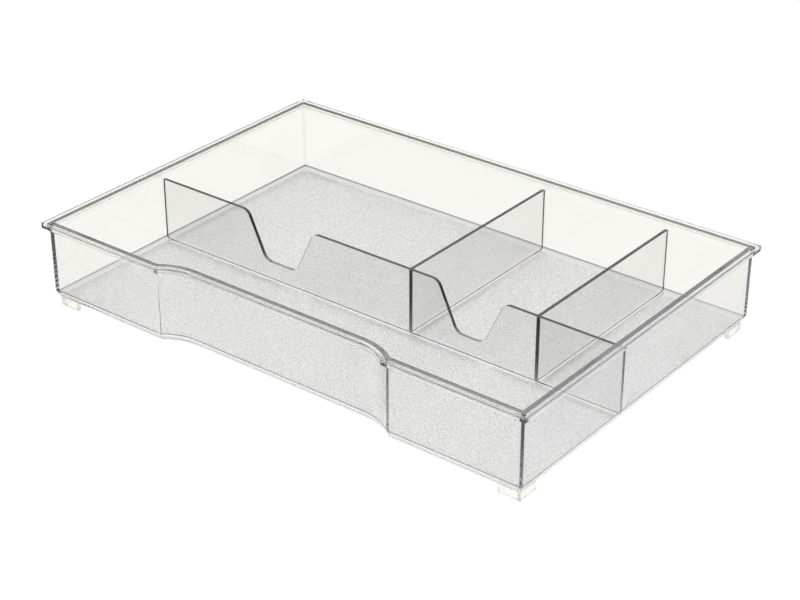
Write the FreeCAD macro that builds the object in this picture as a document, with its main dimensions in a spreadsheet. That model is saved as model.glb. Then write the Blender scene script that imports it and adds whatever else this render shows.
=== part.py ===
"""Desk organizer: a clear moulded tray with a gutter rim, three divider panels and four corner feet.

Frame: millimetres, +X along the long side, +Y towards the back wall, +Z up.
The origin is on the surface that the feet stand on, at the middle of the tray.
The front wall, with the finger recess, faces -Y.
"""
import FreeCAD, Part
import math
import os

import Sketcher

TOLERANCE = 1e-4

DIMENSIONS = {
    # outer faces of the four walls
    "tray_length": 240.0,
    "tray_depth": 161.4,
    "wall_thickness": 1.6,
    # levels above the surface that the feet stand on
    "foot_height": 4.0,
    "floor_thickness": 1.8,
    "wall_top": 38.6,
    # sloped lower edge all round the base
    "base_slope_inset": 1.4,
    "base_slope_height": 3.0,
    "floor_bevel": 0.9,
    # finger recess in the middle of the front wall
    "recess_depth": 5.3,
    "recess_flat": 87.0,
    "recess_radius": 24.0,
    # gutter rim that runs all round outside the wall top
    "rim_width": 2.3,
    "rim_web_thickness": 1.0,
    "rim_web_drop": 1.1,
    "rim_shoulder": 0.6,
    "rim_lip_thickness": 0.7,
    "rim_lip_rise": 0.3,
    "rim_root_width": 1.0,
    "rim_root_height": 2.0,
    # divider panels
    "panel_thickness": 1.6,
    "panel_top_drop": 3.9,
    "panel_end_gap": 0.1,
    "panel_floor_gap": 0.05,
    "panel_corner_cut": 1.6,
    "long_panel_setback": 66.3,
    "left_cross_place": 18.4,
    "right_cross_place": 80.4,
    # scoops in the top edge of the long panel
    "scoop_depth": 21.0,
    "scoop_slope": 25.0,
    "scoop_top_radius": 4.5,
    "scoop_bottom_radius": 5.0,
    "left_scoop_place": -51.0,
    "left_scoop_width": 36.5,
    "right_scoop_place": 48.5,
    "right_scoop_width": 32.5,
    # L-shaped feet under the four corners
    "foot_arm": 10.0,
    "foot_thickness": 2.0,
    "foot_edge_radius": 0.5,
    "foot_bond_gap": 0.05,
}

FORMULAS = {
    "floor_top": "foot_height + floor_thickness",
    "floor_bevel_top": "floor_top + floor_bevel",
    "floor_inset": "wall_thickness + floor_bevel",
    "slope_top": "foot_height + base_slope_height",
    "gutter_floor": "wall_top - rim_web_drop",
    "rim_underside": "gutter_floor - rim_web_thickness",
    "rim_root_start": "rim_underside - rim_root_height",
    "lip_top": "wall_top + rim_lip_rise",
    "gutter_reach": "rim_width - rim_lip_thickness",
    "panel_height": "wall_top - panel_top_drop - floor_top - panel_floor_gap",
    "panel_base": "floor_top + panel_floor_gap",
    "long_panel_length": "tray_length - 2 * wall_thickness - 2 * panel_end_gap",
    "long_panel_place": "long_panel_setback - tray_depth / 2",
    "cross_start": "long_panel_place + panel_thickness / 2 + panel_end_gap",
    "cross_end": "tray_depth / 2 - wall_thickness - panel_end_gap",
    "cross_length": "cross_end - cross_start",
    "cross_middle": "(cross_start + cross_end) / 2",
    "foot_corner_x": "tray_length / 2 - base_slope_inset",
    "foot_corner_y": "tray_depth / 2 - base_slope_inset",
    "foot_rise": "foot_height - foot_bond_gap",
}


def make_sheet(doc):
    """Put every driving dimension and every level worked out from them in one spreadsheet."""
    sheet = doc.addObject("Spreadsheet::Sheet", "Sheet")
    row = 1
    for name, value in DIMENSIONS.items():
        sheet.set("A%d" % row, name)
        sheet.set("B%d" % row, str(value))
        sheet.setAlias("B%d" % row, name)
        row += 1
    for name, formula in FORMULAS.items():
        sheet.set("A%d" % row, name)
        sheet.set("B%d" % row, "=" + formula)
        sheet.setAlias("B%d" % row, name)
        row += 1
    doc.recompute()
    return sheet


def vector(across, up):
    return FreeCAD.Vector(across, up, 0.0)


def origin_plane(body, role):
    return next(feature for feature in body.Origin.OriginFeatures if feature.Role == role)


def new_sketch(body, name, role, level=None):
    """A sketch on one of its body's own origin planes, lifted to a level given as an expression."""
    sketch = body.newObject("Sketcher::SketchObject", name)
    sketch.AttachmentSupport = [(origin_plane(body, role), "")]
    sketch.MapMode = "FlatFace"
    if level is not None:
        sketch.setExpression("AttachmentOffset.Base.z", level)
    return sketch


def bind(sketch, constraint, expression):
    """Add a dimension to a sketch and drive it from the sheet."""
    index = sketch.addConstraint(constraint)
    sketch.setExpression("Constraints[%d]" % index, expression)


def add_tray_outline(sketch, sheet, width="wall_thickness", times=0):
    """The tray's plan outline with its finger recess, grown outward by so many times a width."""
    grow = times * getattr(sheet, width)
    grow_text = "%d * Sheet.%s" % (times, width)
    half_length = sheet.tray_length / 2 + grow
    half_depth = sheet.tray_depth / 2 + grow
    half_flat = sheet.recess_flat / 2
    radius = sheet.recess_radius - grow
    back_of_recess = sheet.recess_depth - half_depth
    centre_level = back_of_recess - radius
    reach = math.sqrt(radius ** 2 - (radius - sheet.recess_depth) ** 2)
    edge = half_flat + reach
    sweep = math.asin(reach / radius)

    first = sketch.GeometryCount
    left_circle = Part.Circle(vector(-half_flat, centre_level), FreeCAD.Vector(0, 0, 1), radius)
    right_circle = Part.Circle(vector(half_flat, centre_level), FreeCAD.Vector(0, 0, 1), radius)
    upright = math.pi / 2
    geometry = [
        Part.LineSegment(vector(-half_length, -half_depth), vector(-edge, -half_depth)),
        Part.ArcOfCircle(left_circle, upright, upright + sweep),
        Part.LineSegment(vector(-half_flat, back_of_recess), vector(half_flat, back_of_recess)),
        Part.ArcOfCircle(right_circle, upright - sweep, upright),
        Part.LineSegment(vector(edge, -half_depth), vector(half_length, -half_depth)),
        Part.LineSegment(vector(half_length, -half_depth), vector(half_length, half_depth)),
        Part.LineSegment(vector(half_length, half_depth), vector(-half_length, half_depth)),
        Part.LineSegment(vector(-half_length, half_depth), vector(-half_length, -half_depth)),
    ]
    sketch.addGeometry(geometry, False)
    front_left, left_arc, flat, right_arc, front_right, right, back, left = range(first, first + 8)

    for one, one_end, other, other_end in (
        (front_left, 2, left_arc, 2),
        (right_arc, 1, front_right, 1),
        (front_right, 2, right, 1),
        (right, 2, back, 1),
        (back, 2, left, 1),
        (left, 2, front_left, 1),
    ):
        sketch.addConstraint(Sketcher.Constraint("Coincident", one, one_end, other, other_end))
    sketch.addConstraint(Sketcher.Constraint("Tangent", left_arc, 1, flat, 1))
    sketch.addConstraint(Sketcher.Constraint("Tangent", right_arc, 2, flat, 2))
    for level_line in (front_left, front_right, back):
        sketch.addConstraint(Sketcher.Constraint("Horizontal", level_line))
    for side_line in (right, left):
        sketch.addConstraint(Sketcher.Constraint("Vertical", side_line))
    sketch.addConstraint(Sketcher.Constraint("Symmetric", front_left, 1, front_right, 2, -2))
    sketch.addConstraint(Sketcher.Constraint("Symmetric", flat, 1, flat, 2, -2))
    sketch.addConstraint(Sketcher.Constraint("Equal", left_arc, right_arc))

    bind(
        sketch,
        Sketcher.Constraint("DistanceX", front_left, 1, front_right, 2, 2 * half_length),
        "Sheet.tray_length + 2 * (%s)" % grow_text,
    )
    bind(
        sketch,
        Sketcher.Constraint("DistanceY", -1, 1, back, 1, half_depth),
        "Sheet.tray_depth / 2 + (%s)" % grow_text,
    )
    bind(
        sketch,
        Sketcher.Constraint("DistanceY", front_left, 1, -1, 1, half_depth),
        "Sheet.tray_depth / 2 + (%s)" % grow_text,
    )
    bind(
        sketch,
        Sketcher.Constraint("DistanceY", front_left, 1, flat, 1, sheet.recess_depth),
        "Sheet.recess_depth",
    )
    bind(
        sketch,
        Sketcher.Constraint("DistanceX", flat, 1, flat, 2, sheet.recess_flat),
        "Sheet.recess_flat",
    )
    bind(
        sketch,
        Sketcher.Constraint("Radius", left_arc, radius),
        "Sheet.recess_radius - (%s)" % grow_text,
    )


def pad_up(body, name, sketch, length):
    feature = body.newObject("PartDesign::Pad", name)
    feature.Profile = sketch
    feature.setExpression("Length", length)
    return feature


def pocket_down(body, name, sketch, length):
    feature = body.newObject("PartDesign::Pocket", name)
    feature.Profile = sketch
    feature.setExpression("Length", length)
    return feature


def round_edges(body, name, base, test, radius):
    """Fillet the edges of the base feature that pass a test."""
    names = edges_where(base.Shape, test)
    feature = body.newObject("PartDesign::Fillet", name)
    feature.Base = (base, names)
    feature.setExpression("Radius", radius)
    return feature


def edges_where(shape, test):
    names = []
    for number, edge in enumerate(shape.Edges, start=1):
        if test(edge):
            names.append("Edge%d" % number)
    return names


def make_tray(doc, sheet):
    """Floor, four walls with the finger recess, and the gutter rim, moulded in one piece."""
    body = doc.addObject("PartDesign::Body", "TrayShell")
    body.Label = "tray_shell"

    base_outline = new_sketch(body, "BaseOutline", "XY_Plane", "Sheet.foot_height")
    add_tray_outline(base_outline, sheet, "base_slope_inset", -1)
    slope_outline = new_sketch(body, "SlopeOutline", "XY_Plane", "Sheet.slope_top")
    add_tray_outline(slope_outline, sheet)
    base = body.newObject("PartDesign::AdditiveLoft", "SlopedBase")
    base.Profile = base_outline
    base.Sections = [slope_outline]
    base.Ruled = True
    doc.recompute()

    wall_outline = new_sketch(body, "WallOutline", "XY_Plane", "Sheet.slope_top")
    add_tray_outline(wall_outline, sheet)
    pad_up(body, "WallBlock", wall_outline, "Sheet.wall_top - Sheet.slope_top")
    doc.recompute()

    root_outline = new_sketch(body, "RimRootOutline", "XY_Plane", "Sheet.rim_root_start")
    add_tray_outline(root_outline, sheet)
    spread_outline = new_sketch(body, "RimSpreadOutline", "XY_Plane", "Sheet.rim_underside")
    add_tray_outline(spread_outline, sheet, "rim_root_width", 1)
    root = body.newObject("PartDesign::AdditiveLoft", "RimRoot")
    root.Profile = root_outline
    root.Sections = [spread_outline]
    root.Ruled = True
    doc.recompute()

    rim_outline = new_sketch(body, "RimOutline", "XY_Plane", "Sheet.rim_underside")
    add_tray_outline(rim_outline, sheet, "rim_width", 1)
    pad_up(body, "RimBlock", rim_outline, "Sheet.lip_top - Sheet.rim_underside")
    doc.recompute()

    gutter_outline = new_sketch(body, "GutterOutline", "XY_Plane", "Sheet.lip_top")
    add_tray_outline(gutter_outline, sheet, "gutter_reach", 1)
    add_tray_outline(gutter_outline, sheet, "rim_shoulder", 1)
    pocket_down(body, "Gutter", gutter_outline, "Sheet.lip_top - Sheet.gutter_floor")
    doc.recompute()

    trim_outline = new_sketch(body, "WallTopOutline", "XY_Plane", "Sheet.lip_top")
    add_tray_outline(trim_outline, sheet, "rim_shoulder", 1)
    pocket_down(body, "WallTopTrim", trim_outline, "Sheet.rim_lip_rise")
    doc.recompute()

    cavity_outline = new_sketch(body, "CavityOutline", "XY_Plane", "Sheet.wall_top")
    add_tray_outline(cavity_outline, sheet, "wall_thickness", -1)
    pocket_down(body, "Cavity", cavity_outline, "Sheet.wall_top - Sheet.floor_bevel_top")
    doc.recompute()

    bevel_outline = new_sketch(body, "FloorBevelOutline", "XY_Plane", "Sheet.floor_bevel_top")
    add_tray_outline(bevel_outline, sheet, "wall_thickness", -1)
    floor_outline = new_sketch(body, "FloorOutline", "XY_Plane", "Sheet.floor_top")
    add_tray_outline(floor_outline, sheet, "floor_inset", -1)
    floor_bevel = body.newObject("PartDesign::SubtractiveLoft", "FloorBevel")
    floor_bevel.Profile = bevel_outline
    floor_bevel.Sections = [floor_outline]
    floor_bevel.Ruled = True
    doc.recompute()
    return body


def make_panel(doc, sheet, label, length, cut_both_ends):
    """An upright divider panel, standing on the middle of its lower edge and running along X."""
    body = doc.addObject("PartDesign::Body", label.title().replace("_", ""))
    body.Label = label
    outline = new_sketch(body, body.Name + "Outline", "XZ_Plane")
    half_length = getattr(sheet, length) / 2
    height = sheet.panel_height
    corners = [
        vector(-half_length, 0.0),
        vector(half_length, 0.0),
        vector(half_length, height),
        vector(-half_length, height),
    ]
    for start in range(4):
        outline.addGeometry(Part.LineSegment(corners[start], corners[(start + 1) % 4]), False)
    for start in range(4):
        joined = Sketcher.Constraint("Coincident", start, 2, (start + 1) % 4, 1)
        outline.addConstraint(joined)
    for level_line in (0, 2):
        outline.addConstraint(Sketcher.Constraint("Horizontal", level_line))
    for side_line in (1, 3):
        outline.addConstraint(Sketcher.Constraint("Vertical", side_line))
    outline.addConstraint(Sketcher.Constraint("Symmetric", 0, 1, 0, 2, -1, 1))
    bind(outline, Sketcher.Constraint("DistanceX", 0, 1, 0, 2, 2 * half_length), "Sheet." + length)
    bind(outline, Sketcher.Constraint("DistanceY", 1, 1, 1, 2, height), "Sheet.panel_height")

    pad = body.newObject("PartDesign::Pad", body.Name + "Pad")
    pad.Profile = outline
    pad.SideType = "Symmetric"
    pad.setExpression("Length", "Sheet.panel_thickness")
    doc.recompute()

    def is_lower_end(edge):
        middle = edge.CenterOfMass
        across = edge.BoundBox.YLength > sheet.panel_thickness - TOLERANCE
        at_an_end = middle.x > 0 or cut_both_ends
        return across and abs(middle.z) < TOLERANCE and at_an_end

    cut = body.newObject("PartDesign::Chamfer", body.Name + "CornerCut")
    cut.Base = (pad, edges_where(pad.Shape, is_lower_end))
    cut.setExpression("Size", "Sheet.panel_corner_cut")
    doc.recompute()
    return body


def cut_scoop(doc, sheet, body, side):
    """A scoop in the top edge of the long panel: sloped sides and rounded corners."""
    name = side.title() + "Scoop"
    place = getattr(sheet, side + "_scoop_place")
    half_width = getattr(sheet, side + "_scoop_width") / 2
    top = sheet.panel_height
    bottom = top - sheet.scoop_depth
    slant = sheet.scoop_depth * math.tan(math.radians(sheet.scoop_slope))
    corners = [
        vector(place - half_width, top),
        vector(place - half_width + slant, bottom),
        vector(place + half_width - slant, bottom),
        vector(place + half_width, top),
    ]
    outline = new_sketch(body, name + "Outline", "XZ_Plane")
    for start in range(4):
        outline.addGeometry(Part.LineSegment(corners[start], corners[(start + 1) % 4]), False)
    for start in range(4):
        joined = Sketcher.Constraint("Coincident", start, 2, (start + 1) % 4, 1)
        outline.addConstraint(joined)
    outline.addConstraint(Sketcher.Constraint("Horizontal", 1))
    outline.addConstraint(Sketcher.Constraint("Horizontal", 3))
    outline.addConstraint(Sketcher.Constraint("Equal", 0, 2))
    width = "Sheet.%s_scoop_width" % side
    start_place = "Sheet.%s_scoop_place - %s / 2" % (side, width)
    slant_text = "Sheet.scoop_depth * tan(Sheet.scoop_slope * 1 deg)"
    bind(outline, Sketcher.Constraint("DistanceX", 0, 1, 3, 1, 2 * half_width), width)
    bind(outline, Sketcher.Constraint("DistanceX", -1, 1, 0, 1, place - half_width), start_place)
    bind(outline, Sketcher.Constraint("DistanceY", -1, 1, 0, 1, top), "Sheet.panel_height")
    bind(
        outline,
        Sketcher.Constraint("DistanceY", 0, 2, 0, 1, sheet.scoop_depth),
        "Sheet.scoop_depth",
    )
    bind(outline, Sketcher.Constraint("DistanceX", 0, 1, 0, 2, slant), slant_text)

    volume_before = body.Shape.Volume
    pocket = body.newObject("PartDesign::Pocket", name)
    pocket.Profile = outline
    pocket.SideType = "Symmetric"
    pocket.setExpression("Length", "2 * Sheet.panel_thickness")
    doc.recompute()
    if body.Shape.Volume >= volume_before:
        raise RuntimeError(name + " cuts nothing")

    def is_corner(edge, level):
        middle = edge.CenterOfMass
        across = edge.BoundBox.YLength > sheet.panel_thickness - TOLERANCE
        inside = abs(middle.x - place) < half_width + TOLERANCE
        return across and inside and abs(middle.z - level) < TOLERANCE

    top_round = round_edges(
        body,
        name + "TopRounding",
        pocket,
        lambda edge: is_corner(edge, top),
        "Sheet.scoop_top_radius",
    )
    doc.recompute()
    round_edges(
        body,
        name + "BottomRounding",
        top_round,
        lambda edge: is_corner(edge, bottom),
        "Sheet.scoop_bottom_radius",
    )
    doc.recompute()


def make_dividers(doc, sheet):
    """The long panel across the tray and the two short panels between it and the back wall."""
    long_panel = make_panel(doc, sheet, "long_divider", "long_panel_length", True)
    for side in ("left", "right"):
        cut_scoop(doc, sheet, long_panel, side)
    long_panel.setExpression("Placement.Base.y", "Sheet.long_panel_place")
    long_panel.setExpression("Placement.Base.z", "Sheet.panel_base")
    panels = [long_panel]
    for side in ("left", "right"):
        panel = make_panel(doc, sheet, "cross_divider_" + side, "cross_length", False)
        panel.Placement = FreeCAD.Placement(
            FreeCAD.Vector(0, 0, 0), FreeCAD.Rotation(FreeCAD.Vector(0, 0, 1), 90)
        )
        panel.setExpression("Placement.Base.x", "Sheet.%s_cross_place" % side)
        panel.setExpression("Placement.Base.y", "Sheet.cross_middle")
        panel.setExpression("Placement.Base.z", "Sheet.panel_base")
        panels.append(panel)
    doc.recompute()
    return panels


def make_foot(doc, sheet, label, turn):
    """An L-shaped foot: its outer corner is at its own origin and its arms run along +X and +Y."""
    body = doc.addObject("PartDesign::Body", label.title().replace("_", ""))
    body.Label = label
    outline = new_sketch(body, body.Name + "Outline", "XY_Plane")
    arm = sheet.foot_arm
    thick = sheet.foot_thickness
    corners = [
        vector(0, 0),
        vector(arm, 0),
        vector(arm, thick),
        vector(thick, thick),
        vector(thick, arm),
        vector(0, arm),
    ]
    count = len(corners)
    for start in range(count):
        outline.addGeometry(Part.LineSegment(corners[start], corners[(start + 1) % count]), False)
    for start in range(count):
        joined = Sketcher.Constraint("Coincident", start, 2, (start + 1) % count, 1)
        outline.addConstraint(joined)
    for level_line in (0, 2, 4):
        outline.addConstraint(Sketcher.Constraint("Horizontal", level_line))
    for side_line in (1, 3, 5):
        outline.addConstraint(Sketcher.Constraint("Vertical", side_line))
    outline.addConstraint(Sketcher.Constraint("Coincident", 0, 1, -1, 1))
    bind(outline, Sketcher.Constraint("DistanceX", 0, 1, 0, 2, arm), "Sheet.foot_arm")
    bind(outline, Sketcher.Constraint("DistanceY", 5, 2, 5, 1, arm), "Sheet.foot_arm")
    bind(outline, Sketcher.Constraint("DistanceY", 1, 1, 1, 2, thick), "Sheet.foot_thickness")
    bind(outline, Sketcher.Constraint("DistanceX", 4, 2, 4, 1, thick), "Sheet.foot_thickness")
    pad = pad_up(body, body.Name + "Pad", outline, "Sheet.foot_rise")
    doc.recompute()

    def is_outer_upright(edge):
        middle = edge.CenterOfMass
        upright = edge.BoundBox.ZLength > sheet.foot_rise - TOLERANCE
        inner_corner = middle.x > TOLERANCE and middle.y > TOLERANCE
        arm_end = middle.x > arm - TOLERANCE or middle.y > arm - TOLERANCE
        return upright and (arm_end or not inner_corner)

    round_edges(
        body, body.Name + "Rounding", pad, is_outer_upright, "Sheet.foot_edge_radius"
    )
    sign_x = 1 if "right" in label else -1
    sign_y = 1 if "back" in label else -1
    body.Placement = FreeCAD.Placement(
        FreeCAD.Vector(0, 0, 0), FreeCAD.Rotation(FreeCAD.Vector(0, 0, 1), turn)
    )
    body.setExpression("Placement.Base.x", "%d * Sheet.foot_corner_x" % sign_x)
    body.setExpression("Placement.Base.y", "%d * Sheet.foot_corner_y" % sign_y)
    doc.recompute()
    return body


def check_document(doc, pieces):
    """Stop if any object failed or any piece has no sound solid."""
    for item in doc.Objects:
        if "Invalid" in item.State or "Error" in item.State:
            raise RuntimeError("%s did not compute: %s" % (item.Label, item.State))
    for piece in pieces:
        shape = piece.Shape
        if shape.isNull() or not shape.isValid() or len(shape.Solids) != 1:
            raise RuntimeError(piece.Label + " is not one sound solid")


def main():
    doc = FreeCAD.newDocument("DeskOrganizer")
    sheet = make_sheet(doc)
    pieces = [make_tray(doc, sheet)]
    pieces += make_dividers(doc, sheet)
    feet = {
        "front_left_foot": 0,
        "front_right_foot": 90,
        "back_right_foot": 180,
        "back_left_foot": 270,
    }
    for label, turn in feet.items():
        pieces.append(make_foot(doc, sheet, label, turn))
    doc.recompute()
    check_document(doc, pieces)

    os.makedirs("parts", exist_ok=True)
    for piece in pieces:
        piece.Shape.exportStep("parts/%s.step" % piece.Label)
        box = piece.Shape.BoundBox
        print(
            "%-22s volume %9.1f  x %7.2f %7.2f  y %7.2f %7.2f  z %6.2f %6.2f"
            % (piece.Label, piece.Shape.Volume, box.XMin, box.XMax, box.YMin, box.YMax, box.ZMin, box.ZMax)
        )


main()
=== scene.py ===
"""Looks of the clear desk organizer: moulded tray, three divider panels and four corner feet.

Everything is in metres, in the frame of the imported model: +X along the long side,
+Y to the back wall, +Z up, the origin on the surface that the feet stand on.
"""
import math

import bmesh
import bpy
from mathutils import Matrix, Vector


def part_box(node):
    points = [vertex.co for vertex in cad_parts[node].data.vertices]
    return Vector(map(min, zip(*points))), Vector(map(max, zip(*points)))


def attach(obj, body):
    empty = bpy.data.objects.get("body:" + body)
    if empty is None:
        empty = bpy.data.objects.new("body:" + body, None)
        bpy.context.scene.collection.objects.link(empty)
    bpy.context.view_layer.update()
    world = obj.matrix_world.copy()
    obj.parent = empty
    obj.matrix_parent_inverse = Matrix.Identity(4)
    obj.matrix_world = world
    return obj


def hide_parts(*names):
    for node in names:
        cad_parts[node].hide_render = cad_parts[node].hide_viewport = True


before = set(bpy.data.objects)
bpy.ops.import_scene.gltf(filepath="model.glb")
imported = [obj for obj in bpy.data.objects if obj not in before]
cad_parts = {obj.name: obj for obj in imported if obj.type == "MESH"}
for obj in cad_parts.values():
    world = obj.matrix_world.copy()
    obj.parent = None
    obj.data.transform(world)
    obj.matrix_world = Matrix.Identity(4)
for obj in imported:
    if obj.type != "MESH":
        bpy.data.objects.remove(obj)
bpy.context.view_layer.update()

MM = 0.001
TRAY_LOW, TRAY_HIGH = (Vector(corner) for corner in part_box("tray_shell"))

BODY = "root"
PANELS = ("long_divider", "cross_divider_left", "cross_divider_right")
FEET = ("front_left_foot", "front_right_foot", "back_right_foot", "back_left_foot")

# Closing the seams of a mesh and making its flat faces whole
WELD = 0.002 * MM
FLAT = math.radians(0.2)
TOUCH = 0.01 * MM

# Which way a face looks, by the upward part of its normal, or the part towards a side
LEVEL = 0.999
UPRIGHT = 0.01
SLOPE = (-0.9, -0.2)
BEVEL = (0.2, 0.9)
FACING = 0.5

# The plastic: its index, its uneven tint and moulding waves, and its satin and matt finishes
INDEX = 1.55
CLOUD_SIZE = 25.0 * MM
WAVE_SIZE = 30.0 * MM
WAVE_HEIGHT = 0.02 * MM
WAVE_STRENGTH = 0.3
SATIN = 0.25
MATT = 0.75
GRAIN_SIZE = 0.62 * MM
GRAIN_HEIGHT = 0.25 * MM
GRAIN_STRENGTH = 0.8

# Between these places the tint turns into a painted reflection: more neutral on the front wall,
# darker grey on the right wall
FRONT_WALL_Y = (TRAY_LOW.y + 11.0 * MM, TRAY_LOW.y + 8.0 * MM)
RIGHT_WALL_X = (TRAY_HIGH.x - 5.3 * MM, TRAY_HIGH.x - 4.1 * MM)

# Dividers: how far they run into the walls and the floor
SEAT = 1.0 * MM

# Frosted fields on the tray's floor
FLOOR_SEARCH_TOP = TRAY_LOW.z + 6.0 * MM
FIELD_LEAST = 0.001  # square metres
FROST_MARGIN = 0.2 * MM
PANEL_MARGIN = 0.9 * MM
FROST_STEP = 0.1 * MM

# Heights between which the parting line and the level top of the walls lie
PARTING_LINE = (TRAY_LOW.z + 3.2 * MM, TRAY_LOW.z + 3.6 * MM)
RIM_LEVEL = (TRAY_HIGH.z - 0.4 * MM, TRAY_HIGH.z - 0.2 * MM)

# Rounding of the edges: which ones are sharp, tall, at the finger recess or on the underside
SHARP = math.radians(20)
TALL = 8.0 * MM
RECESS_ZONE_X = TRAY_HIGH.x - 22.3 * MM
RECESS_ZONE_Y = TRAY_LOW.y + 13.0 * MM
UNDERSIDE_TOP = TRAY_LOW.z + 0.5 * MM
RECESS_ROUNDING = 1.2 * MM
UPRIGHT_ROUNDING = 0.4 * MM
UNDERSIDE_ROUNDING = 0.24 * MM
EDGE_ROUNDING = 0.12 * MM
ROUNDING_STEPS = 4

# Studio: floor, light by the height it comes from, and bounces enough for several clear walls
FLOOR_SIZE = 40.0
FLOOR_DROP = 0.2 * MM
HORIZON_LIGHT = 0.20
OVERHEAD_LIGHT = 1.385
HORIZON_TOP = 0.15
OVERHEAD_START = 0.75
BOUNCES = 32

# Camera: a long lens, looking down on the front right corner
LENS_MM = 88.0
SENSOR_MM = 36.0
CAMERA_PLACE = Vector((0.4429, -0.5609, 0.4016))
CAMERA_AZIMUTH = math.radians(38.2)
CAMERA_PITCH = math.radians(28.84)


def node_material(name):
    """An empty node material with its output node."""
    material = bpy.data.materials.new(name)
    material.use_nodes = True
    tree = material.node_tree
    tree.nodes.clear()
    output = tree.nodes.new("ShaderNodeOutputMaterial")
    return material, tree, output


def plastic_shader(tree, output, density):
    """The clear body that all the plastics share: full transmission and a grey absorption."""
    shader = tree.nodes.new("ShaderNodeBsdfPrincipled")
    shader.inputs["Roughness"].default_value = 0.0
    shader.inputs["IOR"].default_value = INDEX
    shader.inputs["Transmission Weight"].default_value = 1.0
    absorption = tree.nodes.new("ShaderNodeVolumeAbsorption")
    absorption.inputs["Color"].default_value = (0.5, 0.5, 0.5, 1.0)
    absorption.inputs["Density"].default_value = density
    tree.links.new(shader.outputs["BSDF"], output.inputs["Surface"])
    tree.links.new(absorption.outputs["Volume"], output.inputs["Volume"])
    return shader


def noise(tree, size, detail):
    """Noise in object space whose lumps are about size metres across."""
    place = tree.nodes.new("ShaderNodeTexCoord")
    texture = tree.nodes.new("ShaderNodeTexNoise")
    texture.inputs["Scale"].default_value = 1.0 / size
    texture.inputs["Detail"].default_value = detail
    tree.links.new(place.outputs["Object"], texture.inputs["Vector"])
    return texture.outputs["Fac"]


def ramp(tree, value, low, high, spread=0.15, middle=0.5):
    """A colour ramp round a middle noise value, as wide as twice the spread."""
    colours = tree.nodes.new("ShaderNodeValToRGB")
    first, last = colours.color_ramp.elements
    first.position, first.color = middle - spread, (*low, 1.0)
    last.position, last.color = middle + spread, (*high, 1.0)
    tree.links.new(value, colours.inputs["Fac"])
    return colours.outputs["Color"]


def bump(tree, height, distance, strength):
    """A normal that rises and falls with a noise value."""
    node = tree.nodes.new("ShaderNodeBump")
    node.inputs["Distance"].default_value = distance
    node.inputs["Strength"].default_value = strength
    tree.links.new(height, node.inputs["Height"])
    return node.outputs["Normal"]


def clear_plastic(name, low, high, density):
    """Clear moulded polystyrene: sharp gloss, a faint uneven tint and slow moulding waves."""
    material, tree, output = node_material(name)
    shader = plastic_shader(tree, output, density)
    tint = ramp(tree, noise(tree, CLOUD_SIZE, 3.0), low, high)
    tree.links.new(tint, shader.inputs["Base Color"])
    waves = bump(tree, noise(tree, WAVE_SIZE, 1.0), WAVE_HEIGHT, WAVE_STRENGTH)
    tree.links.new(waves, shader.inputs["Normal"])
    return material


def paint_wall_reflection(material, axis, places, low, high):
    """Let a plastic's tint turn into another one between two places along an axis, to paint a
    reflection on one wall.
    """
    tree = material.node_tree
    colour = tree.nodes["Principled BSDF"].inputs["Base Color"]
    position = tree.nodes.new("ShaderNodeTexCoord")
    parts = tree.nodes.new("ShaderNodeSeparateXYZ")
    share = tree.nodes.new("ShaderNodeMapRange")
    share.inputs["From Min"].default_value = places[0]
    share.inputs["From Max"].default_value = places[1]
    mix = tree.nodes.new("ShaderNodeMixRGB")
    tree.links.new(position.outputs["Object"], parts.inputs["Vector"])
    tree.links.new(parts.outputs[axis], share.inputs["Value"])
    tree.links.new(share.outputs["Result"], mix.inputs["Fac"])
    tree.links.new(colour.links[0].from_socket, mix.inputs["Color1"])
    tree.links.new(ramp(tree, noise(tree, CLOUD_SIZE, 3.0), low, high), mix.inputs["Color2"])
    tree.links.new(mix.outputs["Color"], colour)


def satin_plastic(name, low, high, density):
    """The same plastic with a faintly matt finish."""
    material = clear_plastic(name, low, high, density)
    shader = material.node_tree.nodes["Principled BSDF"]
    shader.inputs["Roughness"].default_value = SATIN
    return material


def frosted_shaded_plastic(name, low, high, density):
    """The grained field of the tray's floor: fine matt speckle, lighter and darker by turns; the
    bumps and the matt finish are the real grain, the grey of the darker spots is painted shade.
    """
    material, tree, output = node_material(name)
    shader = plastic_shader(tree, output, density)
    grain = noise(tree, GRAIN_SIZE, 2.0)
    # Painted shade: the grain darkens the tint to grey in spots
    tint = ramp(tree, grain, low, high, spread=0.06, middle=0.46)
    tree.links.new(tint, shader.inputs["Base Color"])
    shader.inputs["Roughness"].default_value = MATT
    pits = bump(tree, grain, GRAIN_HEIGHT, GRAIN_STRENGTH)
    tree.links.new(pits, shader.inputs["Normal"])
    return material


def weigh_edges(work):
    """Weigh the sharp edges for rounding, as shares of the largest radius."""
    weight = work.edges.layers.float.new("bevel_weight_edge")
    for edge in work.edges:
        if edge.calc_face_angle() > SHARP:
            edge[weight] = edge_radius(edge) / RECESS_ROUNDING


def edge_radius(edge):
    """The radius of a sharp edge: largest on the outer corners, least inside."""
    start, end = (point.co for point in edge.verts)
    tall = abs(start.z - end.z) > TALL and (start - end).to_2d().length < TOUCH
    if edge.is_convex and tall:
        at_recess = start.y < RECESS_ZONE_Y and abs(start.x) < RECESS_ZONE_X
        return RECESS_ROUNDING if at_recess else UPRIGHT_ROUNDING
    if edge.is_convex and max(start.z, end.z) < UNDERSIDE_TOP:
        return UNDERSIDE_ROUNDING
    return EDGE_ROUNDING


def merged_mesh(source):
    """A copy of a mesh with its seams closed and its flat faces whole."""
    work = bmesh.new()
    work.from_mesh(source)
    bmesh.ops.remove_doubles(work, verts=work.verts, dist=WELD)
    bmesh.ops.dissolve_limit(
        work,
        angle_limit=FLAT,
        verts=work.verts,
        edges=work.edges,
        delimit={"MATERIAL"},
    )
    return work


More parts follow.
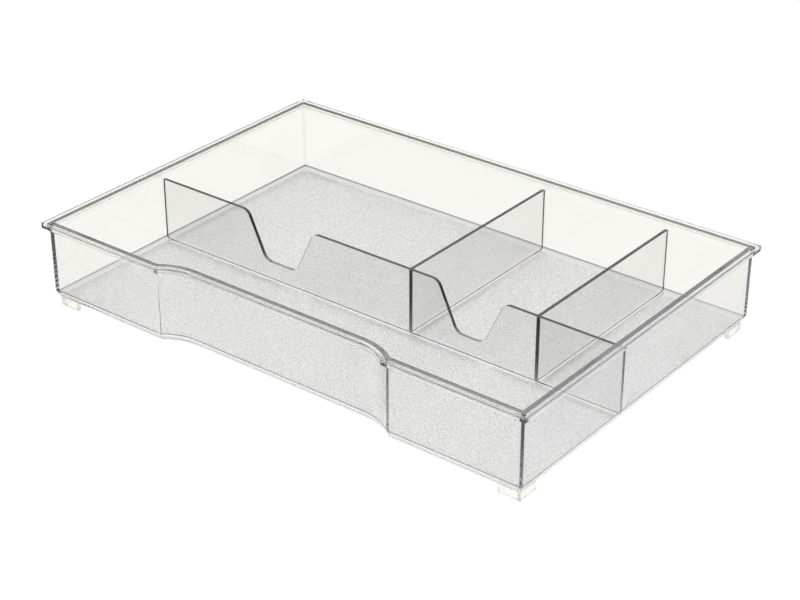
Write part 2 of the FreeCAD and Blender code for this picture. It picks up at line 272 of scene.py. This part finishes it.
def solid(name, work, materials):
    """An object made of a mesh under construction."""
    mesh = bpy.data.meshes.new(name)
    work.to_mesh(mesh)
    work.free()
    for material in materials:
        mesh.materials.append(material)
    thing = bpy.data.objects.new(name, mesh)
    bpy.context.collection.objects.link(thing)
    return thing


def finish_piece(piece, nodes):
    """Round the weighed edges, let the piece cast no shadow and stay unseen by diffuse bounces,
    hang it on the body and hide the parts it takes the place of.
    """
    rounding = piece.modifiers.new("rounding", "BEVEL")
    rounding.width = RECESS_ROUNDING
    rounding.segments = ROUNDING_STEPS
    rounding.limit_method = "WEIGHT"
    rounding.use_clamp_overlap = True
    piece.visible_shadow = False
    piece.visible_diffuse = False
    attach(piece, BODY)
    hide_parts(*nodes)


def moulded_foot(node, material):
    """A corner foot with rounded edges."""
    work = merged_mesh(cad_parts[node].data)
    weigh_edges(work)
    piece = solid(node + "_moulded", work, [material])
    finish_piece(piece, [node])


def seated_panel(node, material):
    """A divider whose ends and foot run on into the walls and the floor that hold it."""
    low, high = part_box(node)
    along = 0 if high[0] - low[0] > high[1] - low[1] else 1
    work = merged_mesh(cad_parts[node].data)
    for point in work.verts:
        if abs(point.co[along] - low[along]) < TOUCH:
            point.co[along] -= SEAT
        if abs(point.co[along] - high[along]) < TOUCH:
            point.co[along] += SEAT
        if abs(point.co.z - low[2]) < TOUCH:
            point.co.z -= SEAT
    return solid(node + "_seated", work, [material])


def joined_mesh(shell, panel):
    """The mesh of the tray and its dividers as one moulding."""
    work = merged_mesh(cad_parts["tray_shell"].data)
    blank = solid("tray_blank", work, [shell])
    helpers = [blank]
    for node in PANELS:
        divider = seated_panel(node, panel)
        helpers.append(divider)
        union = blank.modifiers.new(node, "BOOLEAN")
        union.operation = "UNION"
        union.solver = "EXACT"
        union.material_mode = "TRANSFER"
        union.object = divider
    ready = blank.evaluated_get(bpy.context.evaluated_depsgraph_get())
    mesh = bpy.data.meshes.new_from_object(ready)
    for helper in helpers:
        bpy.data.objects.remove(helper)
    return mesh


def moulded_tray(shell, panel, frost, base, rim, line):
    """The tray with its dividers: rounded edges, and a material of its own for each kind of face,
    some carrying painted shade and painted light.
    """
    joined = joined_mesh(shell, panel)
    slots = list(joined.materials) + [frost, base, rim, line]
    work = merged_mesh(joined)
    weigh_edges(work)
    frost_floor(work, slots.index(frost))
    paint_base_light(work, slots.index(base))
    dull_rim(work, slots.index(rim))
    paint_parting_line_shade(work, slots.index(shell), slots.index(line))
    piece = solid("tray_moulded", work, slots)
    finish_piece(piece, ["tray_shell", *PANELS])
    piece.modifiers["rounding"].material = slots.index(shell)


def frost_floor(work, frost):
    """Give each compartment a sunken frosted field, with clear strips along the dividers."""
    level = [face for face in work.faces if face.normal.z > LEVEL]
    fields = [
        face
        for face in level
        if face.calc_center_median().z < FLOOR_SEARCH_TOP and face.calc_area() > FIELD_LEAST
    ]
    bmesh.ops.inset_individual(work, faces=fields, thickness=FROST_MARGIN, use_even_offset=True)
    corners = list(dict.fromkeys(point for face in fields for point in face.verts))
    for node in PANELS:
        draw_back(corners, *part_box(node))
    bmesh.ops.inset_individual(
        work, faces=fields, thickness=FROST_STEP, depth=-FROST_STEP, use_even_offset=True
    )
    for face in fields:
        face.material_index = frost


def draw_back(corners, low, high):
    """Move the corners of the fields away from a divider that stands beside them."""
    across = 1 if high[0] - low[0] > high[1] - low[1] else 0
    for point in corners:
        if abs(point.co[across] - low[across]) < 2 * FROST_MARGIN:
            point.co[across] = low[across] - PANEL_MARGIN
        if abs(point.co[across] - high[across]) < 2 * FROST_MARGIN:
            point.co[across] = high[across] + PANEL_MARGIN


def paint_base_light(work, base):
    """Give the slope round the foot of the walls its own clear material, paler and less absorbing
    than the shell's: painted light that makes the band there bright.
    """
    for face in work.faces:
        low = face.calc_center_median().z < FLOOR_SEARCH_TOP
        if low and SLOPE[0] < face.normal.z < SLOPE[1]:
            face.material_index = base


def paint_parting_line_shade(work, shell, line):
    """Paint a dark matt thread above the sloped base along the mould's parting line, in front and
    right: the line is real, its dark tint is painted shade.
    """
    low, high = PARTING_LINE
    walls = [
        face
        for face in work.faces
        if face.material_index == shell
        and abs(face.normal.z) < UPRIGHT
        and min(point.co.z for point in face.verts) < low
        and max(point.co.z for point in face.verts) > high
        and is_in_front(face)
    ]
    for height in PARTING_LINE:
        items = (item for face in walls for item in (face, *face.edges, *face.verts))
        cut = bmesh.ops.bisect_plane(
            work,
            geom=list(dict.fromkeys(items)),
            plane_co=(0.0, 0.0, height),
            plane_no=(0.0, 0.0, 1.0),
        )
        walls = [item for item in cut["geom"] if isinstance(item, bmesh.types.BMFace)]
    for face in walls:
        if low < face.calc_center_median().z < high:
            face.material_index = line


def is_in_front(face):
    """Whether an upright face is on the outside of the front wall or the right wall."""
    spot = face.calc_center_median()
    front = spot.y < 0.0 and face.normal.y < -FACING
    right = spot.x > 0.0 and face.normal.x > FACING
    return front or right


def dull_rim(work, rim):
    """Give the walls' level top, inside the lip, and the bevel round the floor a matt finish."""
    level = [face for face in work.faces if face.normal.z > LEVEL]
    for face in level:
        if RIM_LEVEL[0] < face.calc_center_median().z < RIM_LEVEL[1]:
            face.material_index = rim
    for face in work.faces:
        low = face.calc_center_median().z < FLOOR_SEARCH_TOP
        if low and BEVEL[0] < face.normal.z < BEVEL[1]:
            face.material_index = rim


def make_floor():
    """A plain pale floor, just under the feet."""
    material, tree, output = node_material("pale_floor")
    shader = tree.nodes.new("ShaderNodeBsdfDiffuse")
    shader.inputs["Color"].default_value = (0.9, 0.9, 0.9, 1.0)
    tree.links.new(shader.outputs["BSDF"], output.inputs["Surface"])
    bpy.ops.mesh.primitive_plane_add(size=FLOOR_SIZE, location=(0.0, 0.0, -FLOOR_DROP))
    floor = bpy.context.object
    floor.name = "studio_floor"
    floor.data.materials.append(material)


def make_light():
    """A broad soft light overhead that fades to a dim horizon all round."""
    scene = bpy.context.scene
    scene.view_settings.view_transform = "Standard"
    scene.cycles.max_bounces = BOUNCES
    scene.cycles.transmission_bounces = BOUNCES
    scene.cycles.glossy_bounces = BOUNCES
    world = bpy.data.worlds.new("studio")
    world.use_nodes = True
    tree = world.node_tree
    background = tree.nodes["Background"]
    direction = tree.nodes.new("ShaderNodeTexCoord")
    parts = tree.nodes.new("ShaderNodeSeparateXYZ")
    fade = tree.nodes.new("ShaderNodeMapRange")
    fade.interpolation_type = "SMOOTHSTEP"
    fade.inputs["From Min"].default_value = HORIZON_TOP
    fade.inputs["From Max"].default_value = OVERHEAD_START
    fade.inputs["To Min"].default_value = HORIZON_LIGHT
    fade.inputs["To Max"].default_value = OVERHEAD_LIGHT
    tree.links.new(direction.outputs["Generated"], parts.inputs["Vector"])
    tree.links.new(parts.outputs["Z"], fade.inputs["Value"])
    tree.links.new(fade.outputs["Result"], background.inputs["Strength"])
    background.inputs["Color"].default_value = (1.0, 1.0, 1.0, 1.0)
    scene.world = world


def make_camera():
    """A camera at the photograph's viewing angle."""
    data = bpy.data.cameras.new("camera")
    data.lens = LENS_MM
    data.sensor_width = SENSOR_MM
    data.clip_start = 0.01
    data.clip_end = 100.0
    camera = bpy.data.objects.new("camera", data)
    bpy.context.collection.objects.link(camera)
    camera.location = CAMERA_PLACE
    flat = math.cos(CAMERA_PITCH)
    look = Vector(
        (
            -math.sin(CAMERA_AZIMUTH) * flat,
            math.cos(CAMERA_AZIMUTH) * flat,
            -math.sin(CAMERA_PITCH),
        )
    )
    camera.rotation_mode = "QUATERNION"
    camera.rotation_quaternion = look.to_track_quat("-Z", "Y")
    bpy.context.scene.camera = camera


make_camera()
make_floor()
make_light()
shell = clear_plastic("clear_shell_plastic", (0.987, 0.975, 0.920), (1.000, 0.994, 0.950), 50.0)
# Painted reflection: the front wall's tint turns more neutral
paint_wall_reflection(shell, "Y", FRONT_WALL_Y, (0.975, 0.975, 0.955), (0.995, 0.995, 0.978))
# Painted reflection of darker surroundings: the right wall's tint turns darker grey
paint_wall_reflection(shell, "X", RIGHT_WALL_X, (0.925, 0.925, 0.930), (0.955, 0.955, 0.960))
panel = clear_plastic("clear_panel_plastic", (0.970, 0.970, 0.970), (1.000, 1.000, 1.000), 115.0)
# The frosted field: real grain, with painted shade as a grey speckle in its tint and lighter
# absorption than the shell
frost = frosted_shaded_plastic("frosted_floor_shaded_plastic", (0.50, 0.50, 0.505), (1.0, 1.0, 1.0), 8.0)
# Painted light: the sloped base band gets a paler tint and lighter absorption than the shell, so
# it shows bright
base = clear_plastic("clear_base_lit_plastic", (0.990, 0.985, 0.970), (1.000, 1.000, 0.985), 10.0)
rim = satin_plastic("satin_rim_plastic", (0.95, 0.95, 0.945), (0.99, 0.99, 0.985), 45.0)
# Painted shade: the parting line's dark tint, on the front and right outer walls only
line = satin_plastic("parting_line_shade_plastic", (0.12, 0.12, 0.12), (0.35, 0.35, 0.35), 100.0)
foot = clear_plastic("clear_foot_plastic", (0.98, 0.965, 0.90), (1.0, 0.985, 0.925), 20.0)
moulded_tray(shell, panel, frost, base, rim, line)
for name in FEET:
    moulded_foot(name, foot)
